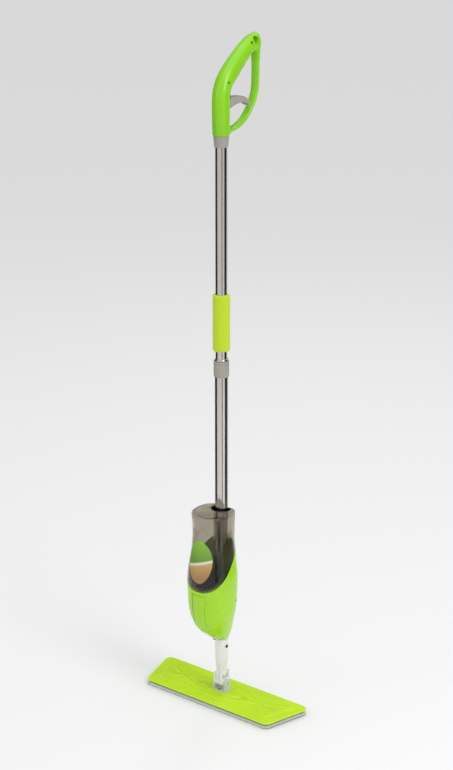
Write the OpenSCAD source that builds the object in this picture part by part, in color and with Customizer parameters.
// Spray flat mop, assembled and standing upright.
// The pole runs along Z, the bottle and the spray nozzle face -Y, the trigger and the loop face +Y.
// Heights are written above the floor; place() moves the origin to the hanging hole.

/* [Pole] */
// Outer radius of the upper tube
upper_tube_r = 11; // [10.5:0.1:11.2]
// Outer radius of the lower tube
lower_tube_r = 12.5; // [12.4:0.1:12.6]
// Wall of both tubes
tube_wall = 0.7; // [0.5:0.1:0.9]
// Height of the joint between the two tubes
joint_z = 709; // [700:1:720]
// Length of upper tube that sits inside the lower tube
insert_len = 38; // [34:1:42]

/* [Handle] */
// Radius of the round grip just above the tube
grip_r = 15.5; // [15.3:0.1:16]
// Half thickness of the handle's flat web and loop
web_x = 9; // [8:0.5:10]
// Radius of the hanging hole
hang_r = 6.5; // [5:0.5:7]
// Travel of the trigger, degrees
trigger_travel = 25; // [20:1:25]

/* [Bottle housing] */
// Wall of the housing shells
wall = 2.4; // [2:0.1:3]
// Rise of the slanted rim from front to back, per millimetre
rim_slope = 1.03; // [1:0.01:1.05]
// Height of the rim at its front
rim_front_z = 257; // [255:1:259]

/* [Bottle] */
// Wall of the bottle
bottle_wall = 1.8; // [1.5:0.1:2]
// Radius of the screw cap
cap_r = 25; // [24:0.5:25]

/* [Head] */
// Length of the head along its rear edge
head_long = 356; // [340:2:370]
// Length of the head along its front edge
head_short = 310; // [300:2:320]
// Depth of the head
head_depth = 106; // [100:1:112]
// Height of the hinge between head and yoke
pitch_z = 34; // [34:0.5:35]

/* [Hidden] */
$fn = 48;
gap = 0.05;
cut_length = 400;
slab = [120, 120, 200];

hang = [0, 88, 1298];

lime = [0.55, 0.85, 0.05];
grey = [0.6, 0.6, 0.58];
steel = [0.75, 0.75, 0.77];
dark = [0.12, 0.13, 0.15];
white = [0.93, 0.93, 0.92];

// ---- pole heights
tube_end_z = joint_z - insert_len;
upper_tube_top = 1180;
grip_foam_r = 16.5;
foam_z = [729, 838];
ferrule_z = [1115, 1136];
handle_z = 1136;
lower_tube_z = 236;
socket_r = 14.8;
socket_len = 31;
rod_r = 3;
pole_button_z = tube_end_z + 11;

// ---- trigger
pivot = [0, 14, 1214];
arm = 13.8;
nose_r = 4;
rod_top = pivot[2] - nose_r - gap;
rod_bottom = tube_end_z - 3;
tip_len = 17;
tip_r = 4;
trigger_x = 6;
pin_r = 2.4;

// ---- lower unit
bottle_y = -43;
section_yc = -29;
pump_z = [156, 212];
pump_r = 12;
pump_bore = 8;
rod_contact_z = rod_bottom - tip_len - gap;
receiver_z = [184.5, 199.5];
bulkhead_z = [193, 196];
spigot_r = 11.2;
spigot_button_z = 116;
spigot_button_r = 3.2;
spigot_z = [92, 134];
nozzle_z = 138;
nozzle_r = 4.2;
bottle_top = 411;
neck_r = 24.5;
thread_r = 22;
cap_z = [200, 224];
spout_r = 11.5;
spout_z = 187;
channel_r = 14.5;

// ---- head
roll_z = pitch_z + 22;
ball_r = 11;
pad_z = 6;
strip_z = 7;
base_z = 9.5;
plate_z = 13;
boss_z = 17;
axle_r = 3;
head_y = -1.2;

module place() { translate(-hang) children(); }

// Smooth curve through points: Catmull-Rom, n steps between each pair.
function cr(a, b, c, d, t) = 0.5 * (2 * b + (c - a) * t + (2 * a - 5 * b + 4 * c - d) * t * t
    + (3 * b - a - 3 * c + d) * t * t * t);
function curve(p, n = 4) = [
    for (i = [0 : len(p) - 2], k = [0 : n - 1])
        cr(p[max(i - 1, 0)], p[i], p[i + 1], p[min(i + 2, len(p) - 1)], k / n),
    p[len(p) - 1]
];

// Solid through a stack of rings that all have the same number of points.
module loft(rings) {
    n = len(rings[0]);
    m = len(rings);
    side = [for (i = [0 : m - 2], j = [0 : n - 1]) let (a = i * n + j, b = i * n + (j + 1) % n)
        each [[a, a + n, b + n], [a, b + n, b]]];
    polyhedron(
        points = [for (r = rings) each r],
        faces = concat(side, [[for (j = [0 : n - 1]) j]], [[for (j = [n - 1 : -1 : 0]) (m - 1) * n + j]])
    );
}

// Housing and bottle share one skin: half width and front depth against height.
skin_half_w = [[132, 12.9], [150, 23.4], [170, 31.9], [188, 37.8], [212, 43.8], [245, 46.8],
    [285, 47.4], [312, 43.5], [346, 38.8], [380, 37.4], [411, 39.2]];
skin_front = [[132, -14], [150, -38], [170, -59], [188, -69], [200, -72], [230, -74], [285, -74],
    [312, -71], [346, -67], [380, -66], [411, -67.5]];
skin_back = [[132, 13], [150, 15], [180, 16], [285, 16], [411, 16]];
skin_power = 2 / 2.3;
skin_sides = 40;
function spow(v) = sign(v) * pow(abs(v), skin_power);
function skin_ring(z, inset) = let (
    w = lookup(z, skin_half_w) - inset,
    f = lookup(z, skin_front) + inset,
    b = lookup(z, skin_back) - inset
) [for (k = [0 : skin_sides - 1]) let (a = 360 * k / skin_sides)
    [w * spow(cos(a)), (f + b) / 2 + (b - f) / 2 * spow(sin(a)), z]];
module skin(z0, z1, inset, steps = 12) {
    loft([for (i = [0 : steps]) skin_ring(z0 + (z1 - z0) * i / steps, inset)]);
}

// Everything below the slanted rim, lowered by drop.
module below_rim(drop) {
    rotate([90, 0, 90]) translate([0, 0, -60]) linear_extrude(120)
        polygon([
            [-90, rim_front_z + rim_slope * -16 - drop], [40, rim_front_z + rim_slope * 114 - drop],
            [40, 100], [-90, 100]
        ]);
}

// ---------------------------------------------------------------- handle

grip_outer = curve([[-15.5, 1136], [-16.5, 1171], [-17, 1198.6], [-13.6, 1220.2], [-3.2, 1239.4],
    [11.9, 1258.6], [32.4, 1275.4], [73.9, 1301.8], [103.1, 1311.9]]);
loop_outer = curve([[104.4, 1310.2], [105.6, 1262], [105.4, 1226.2], [100.1, 1198.6], [78, 1163.8],
    [42, 1142.2], [15.4, 1136.9]]);
grip_inner = curve([[15.4, 1206], [21.6, 1221.4], [39.6, 1234], [73.9, 1268.2], [84, 1275],
    [96.6, 1269.9]]);
loop_inner = curve([[96.8, 1262], [96.6, 1211.8], [85.2, 1183], [52.8, 1153], [15.4, 1146.5]]);

module handle_profile() {
    difference() {
        polygon(concat(grip_outer, loop_outer));
        polygon(concat(grip_inner, loop_inner));
    }
}

// Solid handle, standing in the YZ plane, thinner towards its edges.
module handle_solid() {
    rotate([90, 0, 90]) {
        translate([0, 0, -web_x]) linear_extrude(2 * web_x) handle_profile();
        translate([0, 0, -12.5]) linear_extrude(25) offset(delta = -4) handle_profile();
    }
    translate([0, 0, handle_z]) cylinder(r = grip_r, h = 62);
}

// Outline of the pocket in the grip that the trigger's root swings in.
trigger_pocket_outline = [[-7, 1200], [-7, 1222], [4, 1226], [30, 1226],
                          [30, 1178], [11.5, 1178], [7, 1200]];

module trigger_pocket() {
    rotate([90, 0, 90]) translate([0, 0, -trigger_x - 0.4])
        linear_extrude(2 * trigger_x + 0.8) polygon(trigger_pocket_outline);
}

handle_screw_at = [[4.3, 1231.2], [75.2, 1294]];
handle_screw_r = 1.6;

module handle_cuts() {
    translate([0, 0, handle_z - 1]) cylinder(r = upper_tube_r, h = upper_tube_top - handle_z + 1);
    translate([0, 0, upper_tube_top - 1]) cylinder(r = 6.4, h = 35);
    trigger_pocket();
    translate([-30, pivot[1], pivot[2]]) rotate([0, 90, 0]) cylinder(r = pin_r, h = 60);
    translate([-30, hang[1], hang[2]]) rotate([0, 90, 0]) cylinder(r = hang_r, h = 60);
    for (x = [-20, web_x]) translate([x, hang[1], hang[2]]) rotate([0, 90, 0])
        cylinder(r = hang_r + 3.5, h = 20 - web_x);
    for (p = handle_screw_at) translate([-7, p[0], p[1]]) rotate([0, 90, 0]) {
        cylinder(r = handle_screw_r, h = 40);
        translate([0, 0, 14]) cylinder(r = 2.8, h = 20);
    }
}

module handle_half(side) {
    difference() {
        intersection() {
            handle_solid();
            translate([side > 0 ? 0 : -30, -60, 1100]) cube([30, 200, 250]);
        }
        handle_cuts();
    }
}

module handle_left() { color(lime) place() handle_half(-1); }
module handle_right() { color(lime) place() handle_half(1); }

module handle_screws() {
    color(dark) place() for (p = handle_screw_at) translate([-7, p[0], p[1]]) rotate([0, 90, 0]) {
        cylinder(r = handle_screw_r, h = 14);
        difference() {
            translate([0, 0, 14]) cylinder(r = 2.75, h = 2);
            translate([0, 0, 15]) cylinder(r = 1.2, h = 2, $fn = 6);
        }
    }
}

module handle_ferrule() {
    color(grey) place() difference() {
        translate([0, 0, ferrule_z[0]])
            cylinder(r1 = 12.8, r2 = 14.6, h = ferrule_z[1] - ferrule_z[0]);
        translate([0, 0, ferrule_z[0] - 1]) cylinder(r = upper_tube_r, h = 40);
    }
}

module trigger_pin() {
    color(steel) place() translate([-web_x, pivot[1], pivot[2]]) rotate([0, 90, 0])
        cylinder(r = pin_r, h = 2 * web_x);
}

trigger_top = curve([[21.5, 1205], [33.6, 1201], [48, 1201], [58.8, 1199], [69.6, 1192], [78, 1182]]);
trigger_under = curve([[76, 1180.2], [64.2, 1186.6], [52.8, 1189], [42, 1189], [28.8, 1186.6], [17, 1183]]);

module trigger() {
    color(grey) place() rotate([90, 0, 90]) difference() {
        union() {
            translate([0, 0, -8.5]) linear_extrude(17)
                polygon(concat(trigger_top, trigger_under, [[17, 1190], [19.4, 1200]]));
            translate([0, 0, -trigger_x]) linear_extrude(2 * trigger_x)
                polygon([[12.6, 1184.5], [18, 1184.5], [24, 1200], [21, 1214], [8, 1214], [12.4, 1204]]);
            translate([pivot[1], pivot[2], -trigger_x]) cylinder(r = 6.6, h = 2 * trigger_x);
            translate([pivot[1] - arm, pivot[2], -3]) cylinder(r = nose_r, h = 6);
            translate([0, pivot[2] - 1.5, -3]) cube([pivot[1], 3, 6]);
        }
        translate([pivot[1], pivot[2], -20]) cylinder(r = pin_r + gap, h = 40);
    }
}

// ---------------------------------------------------------------- pole

module button_hole(z, r) {
    translate([0, 0, z]) rotate([-90, 0, 0]) cylinder(r = r, h = 30);
}

pole_button_r = 4;

module upper_tube() {
    color(steel) place() difference() {
        union() {
            translate([0, 0, tube_end_z]) cylinder(r = upper_tube_r, h = upper_tube_top - tube_end_z);
            translate([0, 0, joint_z + 2]) rotate_extrude() translate([upper_tube_r, 0]) circle(2);
        }
        translate([0, 0, tube_end_z - 1]) cylinder(r = upper_tube_r - tube_wall, h = 600);
        button_hole(pole_button_z, pole_button_r + gap);
    }
}

module foam_grip() {
    color([0.78, 0.88, 0.12]) place() difference() {
        translate([0, 0, foam_z[0]]) cylinder(r = grip_foam_r, h = foam_z[1] - foam_z[0]);
        translate([0, 0, foam_z[0] - 1]) cylinder(r = upper_tube_r, h = 200);
    }
}

module tube_end_plug() {
    color(white) place() difference() {
        union() {
            translate([0, 0, tube_end_z - 1.5]) cylinder(r = upper_tube_r - 0.2, h = 1.5);
            translate([0, 0, tube_end_z - 0.01])
                cylinder(r = upper_tube_r - tube_wall, h = pole_button_z - tube_end_z - 5.5);
        }
        translate([0, 0, tube_end_z - 5]) cylinder(r = tip_r + 0.1, h = 40);
    }
}

module rod_guide() {
    color(white) place() difference() {
        translate([0, 0, 1166]) cylinder(r = upper_tube_r - tube_wall, h = 12);
        translate([0, 0, 1160]) cylinder(r = rod_r + gap, h = 30);
    }
}

module upper_push_rod() {
    color(steel) place() translate([0, 0, rod_bottom]) cylinder(r = rod_r, h = rod_top - 8 - rod_bottom);
}

module rod_head() {
    color(white) place() translate([0, 0, rod_top - 8]) cylinder(r = 6, h = 8);
}

module rod_tip() {
    color(dark) place() difference() {
        union() {
            translate([0, 0, rod_bottom - tip_len + 4]) cylinder(r = tip_r, h = tip_len + 6);
            translate([0, 0, rod_bottom - tip_len]) cylinder(r1 = 2, r2 = tip_r, h = 4);
        }
        translate([0, 0, rod_bottom]) cylinder(r = rod_r, h = 30);
    }
}

// Round wire coiled along Z.
module coil(r, wire, z0, z1, turns, per = 9, sides = 5) {
    steps = turns * per;
    rings = [for (i = [0 : steps]) let (a = 360 * i / per, z = z0 + wire + (z1 - z0 - 2 * wire) * i / steps)
        [for (k = [0 : sides - 1]) let (b = -360 * k / sides)
            [(r + wire * cos(b)) * cos(a), (r + wire * cos(b)) * sin(a), z + wire * sin(b)]]];
    loft(rings);
}

rod_spring_z = [1178, rod_top - 8];

module rod_spring() { color(steel) place() coil(4.6, 0.45, rod_spring_z[0], rod_spring_z[1], 6); }

module pole_button() {
    color(steel) place() translate([0, 0, pole_button_z]) rotate([-90, 0, 0]) {
        translate([0, 0, 8]) cylinder(r = pole_button_r, h = 7.7);
        translate([0, 0, 15.7]) cylinder(r1 = pole_button_r, r2 = 2.6, h = 1.3);
    }
}

module pole_button_leaf() {
    color(steel) place() translate([0, 0, pole_button_z - 3]) linear_extrude(6) {
        for (s = [-1, 1]) translate([s * 4.6 - 0.4, -4]) square([0.8, 12]);
        translate([-5, 7.2]) square([10, 0.8]);
    }
}

module pole_socket() {
    color(grey) place() difference() {
        translate([0, 0, joint_z - socket_len]) cylinder(r = socket_r, h = socket_len);
        translate([0, 0, joint_z - socket_len - 1]) cylinder(r = lower_tube_r, h = socket_len);
        translate([0, 0, joint_z - 5]) cylinder(r = upper_tube_r + gap, h = 10);
        button_hole(pole_button_z, pole_button_r + gap);
    }
}

module lower_tube() {
    color(steel) place() difference() {
        translate([0, 0, lower_tube_z]) cylinder(r = lower_tube_r, h = joint_z - 1 - lower_tube_z);
        translate([0, 0, lower_tube_z - 1]) cylinder(r = upper_tube_r + gap, h = 2 * cut_length);
        button_hole(pole_button_z, pole_button_r + gap);
    }
}

// ---------------------------------------------------------------- housing

strip_half = [[132, 10.5], [256, 16.5]];
module strip_band(grow) {
    translate([0, section_yc - 8, 0]) rotate([90, 0, 0]) linear_extrude(60)
        polygon([
            [-lookup(132, strip_half) - grow, 135 - grow], [lookup(132, strip_half) + grow, 135 - grow],
            [lookup(256, strip_half) + grow, 250 + grow], [-lookup(256, strip_half) - grow, 250 + grow]
        ]);
}
bezel_half = 6.7;
module bezel_band(grow) {
    translate([0, -12, 0]) rotate([90, 0, 0]) linear_extrude(60) {
        translate([-bezel_half - grow, 140]) square([2 * (bezel_half + grow), 21.3]);
        for (z = [140, 161.3]) translate([0, z]) circle(r = bezel_half + grow);
    }
}
module egg(grow) {
    translate([0, bottle_y, 150]) linear_extrude(200) scale([31.5 + grow, 26.3 + grow]) circle(r = 1);
}

housing_screw_at = [[-9.6, 229], [9.6, 229]];
housing_screw_r = 1.4;

housing_low_z = 132;
shell_top_z = 360;
rim_shell_z = 230;
collar_z = 222;

module housing_half(side) {
    difference() {
        intersection() {
            difference() {
                skin(housing_low_z, shell_top_z, 0);
                difference() {
                    skin(housing_low_z + 2.5, shell_top_z, wall);
                    difference() {
                        skin(rim_shell_z, shell_top_z, wall - 1);
                        below_rim(3);
                    }
                    translate([-60, -90, bulkhead_z[0]])
                        cube([120, 120, bulkhead_z[1] - bulkhead_z[0]]);
                    translate([0, 0, collar_z]) cylinder(r = 15, h = 120);
                }
            }
            below_rim(0);
            translate([side > 0 ? 0 : -60, -100, 100]) cube([60, 150, 300]);
        }
        egg_cut();
        translate([0, 0, lower_tube_z]) cylinder(r = lower_tube_r, h = 200);
        translate([0, 0, 140]) cylinder(r = pump_r, h = 72);
        translate([0, 0, 210]) cylinder(r = 6, h = 40);
        translate([0, bottle_y, 150]) cylinder(r = 16, h = 60);
        translate([0, 0, 120]) cylinder(r = spigot_r, h = 14);
        for (p = housing_screw_at) translate([-6, p[0], p[1]]) rotate([0, 90, 0]) {
            cylinder(r = housing_screw_r, h = 40);
            translate([0, 0, 12]) cylinder(r = 3, h = 60);
        }
        strip_band(gap);
        bezel_band(gap);
        translate([side > 0 ? 100 : -100, 0, 0]) vent();
    }
}

// The bottle's neck drops through the egg-shaped opening as far as the bulkhead.
module egg_cut() {
    intersection() {
        egg(0);
        translate([-60, -100, bulkhead_z[1]]) cube(slab);
    }
}

module vent() {
    translate([64, -100, 208]) rotate([90, 20, 180])
        linear_extrude(70) square([13, 3], center = true);
}

module housing_left() { color(lime) place() housing_half(-1); }
module housing_right() { color(lime) place() housing_half(1); }

module front_strip() {
    color(lime) place() difference() {
        intersection() {
            difference() {
                skin(132, 262, 0);
                skin(120, 270, wall);
            }
            strip_band(0);
        }
        bezel_band(gap);
    }
}

module nozzle_bezel() {
    color(white) place() difference() {
        intersection() {
            difference() {
                skin(132, 180, -0.8, 8);
                skin(120, 190, wall, 8);
            }
            bezel_band(0);
        }
        translate([0, 0, nozzle_z]) rotate([90, 0, 0]) cylinder(r = nozzle_r, h = 60);
    }
}

module spray_nozzle() {
    color([0.75, 0.12, 0.1]) place() translate([0, 0, nozzle_z]) rotate([90, 0, 0]) difference() {
        translate([0, 0, 15]) cylinder(r = nozzle_r, h = 8.5);
        translate([0, 0, 14]) cylinder(r = 1.6, h = 8.3);
        translate([0, 0, 10]) cylinder(r = 0.4, h = 20);
    }
}

module housing_screws() {
    color(dark) place() for (p = housing_screw_at) translate([-6, p[0], p[1]]) rotate([0, 90, 0]) {
        cylinder(r = housing_screw_r, h = 12);
        translate([0, 0, 12]) cylinder(r = 2.8, h = 1.6);
    }
}

module bottle_receiver() {
    color(dark) place() difference() {
        union() {
            intersection() {
                translate([0, bottle_y, bulkhead_z[1]]) cylinder(r = 24, h = receiver_z[1] - bulkhead_z[1]);
                skin(150, 300, wall + 0.5);
            }
            translate([0, bottle_y, 180]) cylinder(r = 16, h = bulkhead_z[1] - 180);
            translate([0, bottle_y, 174]) cylinder(r = 2.5, h = 6);
        }
        translate([0, bottle_y, receiver_z[0] - 1.5]) cylinder(r = spout_r + 0.5, h = 40);
        translate([0, bottle_y, 170]) cylinder(r = 1.5, h = 40);
    }
    color(dark) place() difference() {
        translate([0, bottle_y, receiver_z[0] - 1.5]) cylinder(r = 3, h = 5);
        translate([0, bottle_y, 170]) cylinder(r = 1.5, h = 40);
    }
}

module receiver_seal() {
    color([0.7, 0.1, 0.1]) place() translate([0, bottle_y, receiver_z[0] - 1.5]) rotate_extrude()
        translate([6, 0]) square([5.5, 2]);
}

module pump_body() {
    color(white) place() difference() {
        union() {
            translate([0, 0, pump_z[0]]) cylinder(r = pump_r, h = pump_z[1] - pump_z[0]);
            translate([0, 0, pump_z[0] - 6]) cylinder(r = 2.5, h = 6);
            translate([0, 0, 163]) rotate([90, 0, 0]) cylinder(r = 2.5, h = 18);
        }
        translate([0, 0, pump_z[0] + 3]) cylinder(r = pump_bore, h = pump_z[1] - pump_z[0]);
        translate([0, 0, pump_z[0] - 10]) cylinder(r = 1.2, h = 20);
        translate([0, 0, 163]) rotate([90, 0, 0]) cylinder(r = 1.2, h = 30);
    }
}

// Soft tube from straight down to straight forward, with a quarter bend between.
module hose(r, bore, y0, z0, z1, bend, y1) {
    difference() {
        hose_solid(r, y0, z0, z1, bend, y1, 0);
        hose_solid(bore, y0, z0, z1, bend, y1, 1);
    }
}
module hose_solid(r, y0, z0, z1, bend, y1, over) {
    way = sign(y1 - y0);
    translate([0, y0, z1 + bend]) cylinder(r = r, h = z0 - z1 - bend + over);
    translate([0, y0 + way * bend, z1 + bend]) rotate([0, 90, 0]) rotate([0, 0, way > 0 ? 270 : 0])
        rotate_extrude(angle = 90) translate([bend, 0]) circle(r);
    translate([0, y0 + way * bend, z1]) rotate([-90 * way, 0, 0])
        cylinder(r = r, h = abs(y1 - y0) - bend + over);
}

module inlet_hose() { color([0.85, 0.85, 0.85]) place() hose(4, 2.5 + gap, bottle_y, 179, 163, 9, -12.1); }
module outlet_hose() { color([0.85, 0.85, 0.85]) place() hose(3.6, 2.5 + gap, 0, 155.5, nozzle_z, 7, -14.9); }

module push_cup() {
    color(white) place() difference() {
        translate([0, 0, rod_contact_z - 14]) cylinder(r = 10.9, h = 20);
        translate([0, 0, rod_contact_z]) cylinder(r = 8.5, h = 30);
        translate([0, 0, rod_contact_z - 20]) cylinder(r = rod_r, h = 12);
    }
}

rod_foot_z = 200;

module lower_push_rod() {
    color(steel) place() translate([0, 0, rod_foot_z])
        cylinder(r = rod_r, h = rod_contact_z - 8 - rod_foot_z);
}

module pump_plunger() {
    color(white) place() difference() {
        union() {
            translate([0, 0, 188]) cylinder(r = pump_bore - gap, h = 9);
            translate([0, 0, 197]) cylinder(r = 5, h = 12);
        }
        translate([0, 0, rod_foot_z]) cylinder(r = rod_r, h = 20);
        translate([0, 0, 191]) rotate_extrude() translate([6.6, 0]) square([3, 3]);
    }
}

module pump_seal() {
    color(dark) place() translate([0, 0, 191]) rotate_extrude() translate([6.6, 0]) square([1.35, 3]);
}

module pump_spring() { color(steel) place() coil(5.6, 0.6, pump_z[0] + 3, 188, 6); }

// ---------------------------------------------------------------- bottle

module bottle_form(inset) {
    difference() {
        skin(250, bottle_top - inset, inset);
        below_rim(-0.4 - inset * 1.4);
        translate([0, 0, 150]) cylinder(r = channel_r + inset, h = 400);
        translate([-60, 9 - inset, 150]) cube([120, 60, 400]);
        translate([-channel_r + 2.5 - inset, 0, 150]) cube([2 * channel_r - 5 + 2 * inset, 60, 400]);
    }
    translate([0, bottle_y, cap_z[1] + 4 + inset]) cylinder(r = neck_r - inset, h = 78);
}

module bottle() {
    color([0.5, 0.5, 0.45, 0.5]) place() difference() {
        union() {
            bottle_form(0);
            translate([0, bottle_y, 205]) cylinder(r = thread_r, h = 24);
        }
        bottle_form(bottle_wall);
        translate([0, bottle_y, 200]) cylinder(r = thread_r - 1.8, h = 40);
    }
}

label_gap = 0.2;
label_thick = 0.4;

module bottle_label() {
    color([0.3, 0.45, 0.1]) place() intersection() {
        difference() {
            skin(262, 376, -label_gap - label_thick);
            skin(250, 390, -label_gap, 14);
        }
        translate([0, -30, 319]) rotate([90, 0, 0]) linear_extrude(70) scale([27, 43]) circle(r = 1);
    }
}

module neck_ring() {
    color(dark) place() difference() {
        translate([0, bottle_y, cap_z[1] + 0.4]) cylinder(r = cap_r, h = 3.4);
        translate([0, bottle_y, 200]) cylinder(r = thread_r, h = 60);
    }
}

module cap() {
    color(dark) place() difference() {
        union() {
            translate([0, bottle_y, cap_z[0]]) cylinder(r = cap_r, h = cap_z[1] - cap_z[0]);
            translate([0, bottle_y, spout_z]) cylinder(r = spout_r, h = 14);
        }
        translate([0, bottle_y, cap_z[0] + 2.5]) cylinder(r = thread_r + 0.1, h = 60);
        translate([0, bottle_y, spout_z + 2]) cylinder(r = 9, h = 20);
        translate([0, bottle_y, spout_z - 2]) cylinder(r = 4.2, h = 20);
        for (k = [0 : 35]) rotate_about(bottle_y, k * 10) translate([cap_r + 0.3, 0, 202])
            cylinder(r = 0.7, h = 18, $fn = 6);
    }
}
module rotate_about(y, a) { translate([0, y, 0]) rotate([0, 0, a]) children(); }

module cap_seal() {
    color([0.8, 0.8, 0.8]) place() translate([0, bottle_y, cap_z[0] + 2.5]) difference() {
        cylinder(r = thread_r, h = 2.4);
        translate([0, 0, -1]) cylinder(r = 2.6, h = 5);
        for (k = [0 : 5]) rotate([0, 0, 60 * k]) translate([9.5, 0, -1]) cylinder(r = 2.5, h = 5);
    }
}

module valve_plunger() {
    color(white) place() translate([0, bottle_y, 0]) {
        translate([0, 0, spout_z + 3]) cylinder(r = 7.5, h = 2);
        translate([0, 0, spout_z + 1.2]) cylinder(r = 4.1, h = 2);
        translate([0, 0, spout_z + 5]) cylinder(r = 2, h = 9);
    }
}

module valve_spring() {
    color(steel) place() translate([0, bottle_y, 0]) coil(5, 0.4, spout_z + 5, cap_z[0] + 2.4, 5);
}

// ---------------------------------------------------------------- spigot and neck

module head_spigot() {
    color(lime) place() difference() {
        translate([0, 0, spigot_z[0]]) cylinder(r = spigot_r, h = spigot_z[1] - spigot_z[0] - 0.5);
        translate([0, 0, spigot_z[0] - 1]) cylinder(r = spigot_r - 2.5, h = 36);
        translate([0, 0, spigot_button_z]) rotate([0, 90, 0]) cylinder(r = spigot_button_r + gap, h = 30);
    }
}

module spigot_button() {
    color(dark) place() translate([0, 0, spigot_button_z]) rotate([0, 90, 0]) {
        translate([0, 0, 6.5]) cylinder(r = spigot_button_r, h = 7.5);
        translate([0, 0, 14]) cylinder(r1 = spigot_button_r, r2 = 2, h = 1);
    }
}

module spigot_button_leaf() {
    color(steel) place() translate([0, 0, spigot_button_z - 2.5]) linear_extrude(5) {
        translate([5.7, -4.4]) square([0.8, 8.8]);
        for (s = [-1, 1]) translate([-4, s * 4 - 0.4]) square([9.7, 0.8]);
    }
}

module neck() {
    color(white) place() difference() {
        union() {
            translate([0, 0, roll_z]) sphere(r = ball_r);
            translate([0, 0, roll_z]) cylinder(r1 = 10, r2 = 12.7, h = 88 - roll_z);
            translate([0, 0, 88]) cylinder(r1 = 12.7, r2 = 13, h = 132 - 88 - 0.3);
        }
        translate([0, 0, spigot_z[0] - 1]) cylinder(r = spigot_r, h = 60);
        translate([0, 20, roll_z]) rotate([90, 0, 0]) cylinder(r = 2.5 + gap, h = 40);
        translate([0, 0, spigot_button_z]) rotate([0, 90, 0]) cylinder(r = spigot_button_r + gap, h = 30);
        for (s = [-1, 1]) translate([-20, s * (ball_r - 1.5) - (s < 0 ? 10 : 0), roll_z - 20])
            cube([40, 10, 31.5]);
    }
}

module yoke() {
    color(white) place() difference() {
        union() {
            translate([-9.8, 0, pitch_z]) rotate([0, 90, 0]) cylinder(r = 7, h = 19.6);
            translate([-9.8, -14, pitch_z]) cube([19.6, 28, 10.4]);
            for (s = [-1, 1]) for (x = [-5.6, 5.6])
                translate([x - 3.4, s > 0 ? ball_r - 1.2 : -14, pitch_z]) cube([6.8, 14 - ball_r + 1.2, 24]);
            for (s = [-1, 1]) translate([-3, s > 0 ? ball_r - 1.2 : -12.4, pitch_z]) cube([6, 2.6, 27]);
        }
        translate([-30, 0, pitch_z]) rotate([0, 90, 0]) cylinder(r = axle_r + gap, h = 60);
        translate([0, 20, roll_z]) rotate([90, 0, 0]) cylinder(r = 2.5, h = 40);
    }
}

module yoke_pin() {
    color(steel) place() translate([0, 13, roll_z]) rotate([90, 0, 0]) cylinder(r = 2.5, h = 26);
}

pivot_screw_y = 8;

module pivot_block() {
    color(grey) place() difference() {
        union() {
            translate([-16, -11, boss_z]) cube([32, 22, 3]);
            for (s = [-1, 1]) translate([s > 0 ? 10.2 : -16, -8, boss_z]) cube([5.8, 16, pitch_z - boss_z]);
            for (s = [-1, 1]) translate([s > 0 ? 10.2 : -16, 0, pitch_z]) rotate([0, 90, 0])
                cylinder(r = 8, h = 5.8);
        }
        translate([-30, 0, pitch_z]) rotate([0, 90, 0]) cylinder(r = axle_r, h = 60);
        for (s = [-1, 1]) translate([0, s * pivot_screw_y, 10]) cylinder(r = 1.5, h = 20);
        for (s = [-1, 1]) translate([0, s * pivot_screw_y, boss_z + 1.8]) cylinder(r = 2.65, h = 4);
    }
}

module pivot_axle() {
    color(steel) place() translate([-15.5, 0, pitch_z]) rotate([0, 90, 0]) cylinder(r = axle_r, h = 31);
}

module pivot_screws() {
    color(steel) place() for (s = [-1, 1]) translate([0, s * pivot_screw_y, 0]) {
        translate([0, 0, 12]) cylinder(r = 1.5, h = boss_z + 1.8 - 12);
        translate([0, 0, boss_z + 1.8]) cylinder(r = 2.6, h = 1.2);
    }
}

// Trapezoid with round corners, drawn in by inset.
module head_outline(inset, corner = 12) {
    hull() for (s = [-1, 1]) {
        translate([s * (head_long / 2 - corner), head_depth / 2 - corner]) circle(r = corner - inset, $fn = 32);
        translate([s * (head_short / 2 - corner), corner - head_depth / 2]) circle(r = corner - inset, $fn = 32);
    }
}

module head_layer(z0, z1, inset) {
    translate([0, head_y, z0]) linear_extrude(z1 - z0) head_outline(inset);
}

module head_plate() {
    color(lime) place() difference() {
        union() {
            head_layer(base_z, plate_z, 0);
            translate([0, head_y, 0]) hull() {
                translate([0, 0, plate_z]) linear_extrude(0.5) scale([0.87, 0.66]) head_outline(0);
                translate([0, 0, 15.4]) linear_extrude(0.6) scale([0.83, 0.56]) head_outline(0);
            }
            translate([0, 0, base_z]) scale([57.5 / 18, 1, 1]) cylinder(r = 18, h = boss_z - base_z);
        }
        for (s = [-1, 1]) translate([0, s * 8, 12]) cylinder(r = 1.5, h = 20);
    }
}

module head_base() { color(dark) place() head_layer(strip_z, base_z, 3); }

module hook_strips() {
    color(white) place() for (y = [-30, 32]) translate([-135, y - 10, pad_z]) cube([270, 20, strip_z - pad_z]);
}

module mop_pad() { color([0.9, 0.9, 0.92]) place() head_layer(0, pad_z, 2); }

handle_left();
handle_right();
handle_screws();
handle_ferrule();
upper_tube();
foam_grip();
tube_end_plug();
rod_guide();
trigger_pin();
trigger();
upper_push_rod();
rod_head();
rod_tip();
rod_spring();
pole_button();
pole_button_leaf();
pole_socket();
lower_tube();
housing_left();
housing_right();
front_strip();
housing_screws();
nozzle_bezel();
spray_nozzle();
bottle_receiver();
receiver_seal();
pump_body();
inlet_hose();
outlet_hose();
push_cup();
lower_push_rod();
pump_plunger();
pump_seal();
pump_spring();
bottle();
bottle_label();
neck_ring();
cap();
cap_seal();
valve_plunger();
valve_spring();
head_spigot();
spigot_button();
spigot_button_leaf();
neck();
yoke();
yoke_pin();
pivot_block();
pivot_axle();
pivot_screws();
head_plate();
head_base();
hook_strips();
mop_pad();
